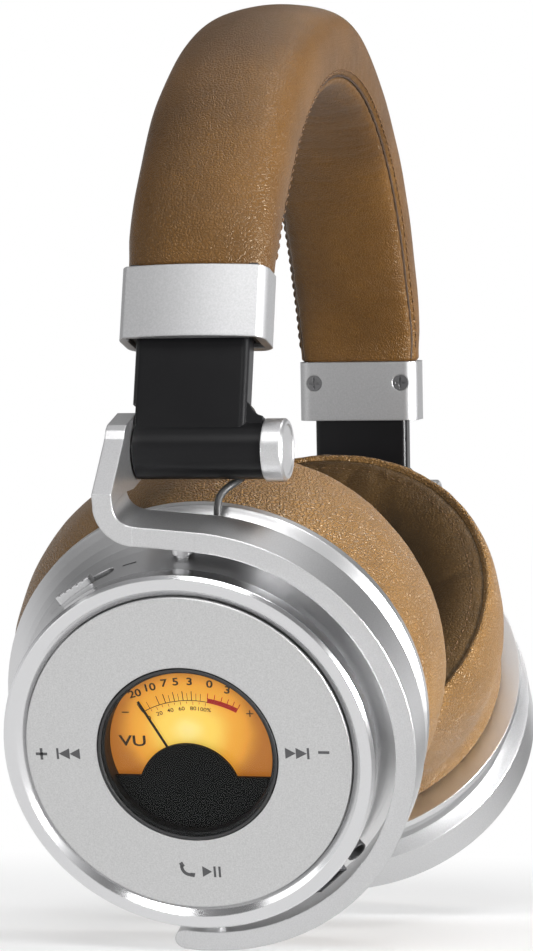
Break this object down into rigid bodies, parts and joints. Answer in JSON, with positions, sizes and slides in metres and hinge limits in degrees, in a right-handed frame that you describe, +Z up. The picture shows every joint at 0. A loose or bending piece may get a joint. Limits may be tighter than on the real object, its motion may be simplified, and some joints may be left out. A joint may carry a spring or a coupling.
{
  "type": "over ear headphones",
  "caption": "Closed over ear headphones with a padded arch, sliding stems, folding C-shaped yokes and round metal cups with a window meter in each face.",
  "frame": {"origin": "centre of the bounding box in X and Y, at its bottom, in the resting pose of the picture", "axes": "+Z up through the headband's crown, the wearer looks along -Y, the wearer's right ear is at -X"},
  "size_m": [0.209, 0.094, 0.2059],
  "materials": {
    "tan_leather": "fine pebble grain, satin",
    "foam": "open-cell foam",
    "spring_steel": "satin",
    "black_plastic": "satin black",
    "satin_aluminium": "bead-blasted satin",
    "polished_aluminium": "polished",
    "steel_hardware": "satin",
    "clear_glass": "clear",
    "amber_dial": "back-lit amber",
    "copper_coil": "enamelled wire",
    "cloth": "woven mesh",
    "paper_cone": "coated film",
    "circuit": "solder mask",
    "cable_rubber": "matt"
  },
  "bodies": {
    "headband": {"band_cover": "tan_leather", "band_pad": "tan_leather", "band_foam": "foam", "spring_strip": "spring_steel", "guide_right": "black_plastic", "guide_left": "black_plastic", "collar_right": "satin_aluminium", "collar_left": "satin_aluminium", "collar_screws": "steel_hardware"},
    "stem_right": {"stem_right": "black_plastic"},
    "yoke_right": {"yoke_right": "satin_aluminium", "hinge_pin_right": "steel_hardware", "hinge_cap_right": "satin_aluminium", "pivot_pins_right": "black_plastic"},
    "cup_right": {"shell_right": "satin_aluminium", "rim_right": "polished_aluminium", "meter_housing_right": "black_plastic", "meter_glass_right": "clear_glass", "meter_dial_right": "amber_dial", "meter_mask_right": "black_plastic", "movement_right": "copper_coil", "baffle_right": "black_plastic", "baffle_screws_right": "steel_hardware", "driver_motor_right": "steel_hardware", "diaphragm_right": "paper_cone", "grille_cloth_right": "cloth", "pad_ring_right": "black_plastic", "ear_pad_right": "tan_leather", "cable_right": "cable_rubber", "plate_switches": "steel_hardware", "jack_socket": "black_plastic", "charge_socket": "steel_hardware", "circuit_board": "circuit"},
    "needle_right": {"needle_right": "black_plastic"},
    "stem_left": {"stem_left": "black_plastic"},
    "yoke_left": {"yoke_left": "satin_aluminium", "hinge_pin_left": "steel_hardware", "hinge_cap_left": "satin_aluminium", "pivot_pins_left": "black_plastic"},
    "cup_left": {"shell_left": "satin_aluminium", "rim_left": "polished_aluminium", "meter_housing_left": "black_plastic", "meter_glass_left": "clear_glass", "meter_dial_left": "amber_dial", "meter_mask_left": "black_plastic", "movement_left": "copper_coil", "baffle_left": "black_plastic", "baffle_screws_left": "steel_hardware", "driver_motor_left": "steel_hardware", "diaphragm_left": "paper_cone", "grille_cloth_left": "cloth", "pad_ring_left": "black_plastic", "ear_pad_left": "tan_leather", "cable_left": "cable_rubber", "face_plate_left": "satin_aluminium", "battery": "steel_hardware"},
    "needle_left": {"needle_left": "black_plastic"},
    "face_plate_right": {"face_plate_right": "satin_aluminium"},
    "power_switch": {"power_switch": "satin_aluminium"}
  },
  "joints": [
    {"name": "size_right", "type": "slide", "parent": "headband", "child": "stem_right", "axis": [-0.1392, 0, -0.9903], "range_m": [-0.005, 0.012]},
    {"name": "fold_right", "type": "hinge", "parent": "stem_right", "child": "yoke_right", "pos_m": [-0.08583, -0.00135, 0.10016], "axis": [0, -1, 0], "range_deg": [-22.4, 15.1]},
    {"name": "swivel_right", "type": "hinge", "parent": "yoke_right", "child": "cup_right", "pos_m": [-0.07955, -0.00215, 0.04359], "axis": [-0.3811, 0, 0.9245], "range_deg": [-4, 12]},
    {"name": "needle_right", "type": "hinge", "parent": "cup_right", "child": "needle_right", "pos_m": [-0.08151, -0.00215, 0.03272], "axis": [0.9245, 0, 0.3811], "range_deg": [0, 54]},
    {"name": "size_left", "type": "slide", "parent": "headband", "child": "stem_left", "axis": [0.1392, 0, -0.9903], "range_m": [-0.005, 0.012]},
    {"name": "fold_left", "type": "hinge", "parent": "stem_left", "child": "yoke_left", "pos_m": [0.08817, -0.00135, 0.10016], "axis": [0, 1, 0], "range_deg": [-33.6, 3.9]},
    {"name": "swivel_left", "type": "hinge", "parent": "yoke_left", "child": "cup_left", "pos_m": [0.07101, -0.00215, 0.04589], "axis": [-0.5534, 0, -0.8329], "range_deg": [-4, 12]},
    {"name": "needle_left", "type": "hinge", "parent": "cup_left", "child": "needle_left", "pos_m": [0.07082, -0.00215, 0.03485], "axis": [-0.8329, 0, 0.5534], "range_deg": [0, 54]},
    {"name": "plate_press", "type": "slide", "parent": "cup_right", "child": "face_plate_right", "axis": [0.9245, 0, 0.3811], "range_m": [0, 0.0004]},
    {"name": "power_slide", "type": "slide", "parent": "cup_right", "child": "power_switch", "axis": [-0.2047, -0.8434, 0.4968], "range_m": [0, 0.0046]}
  ]
}
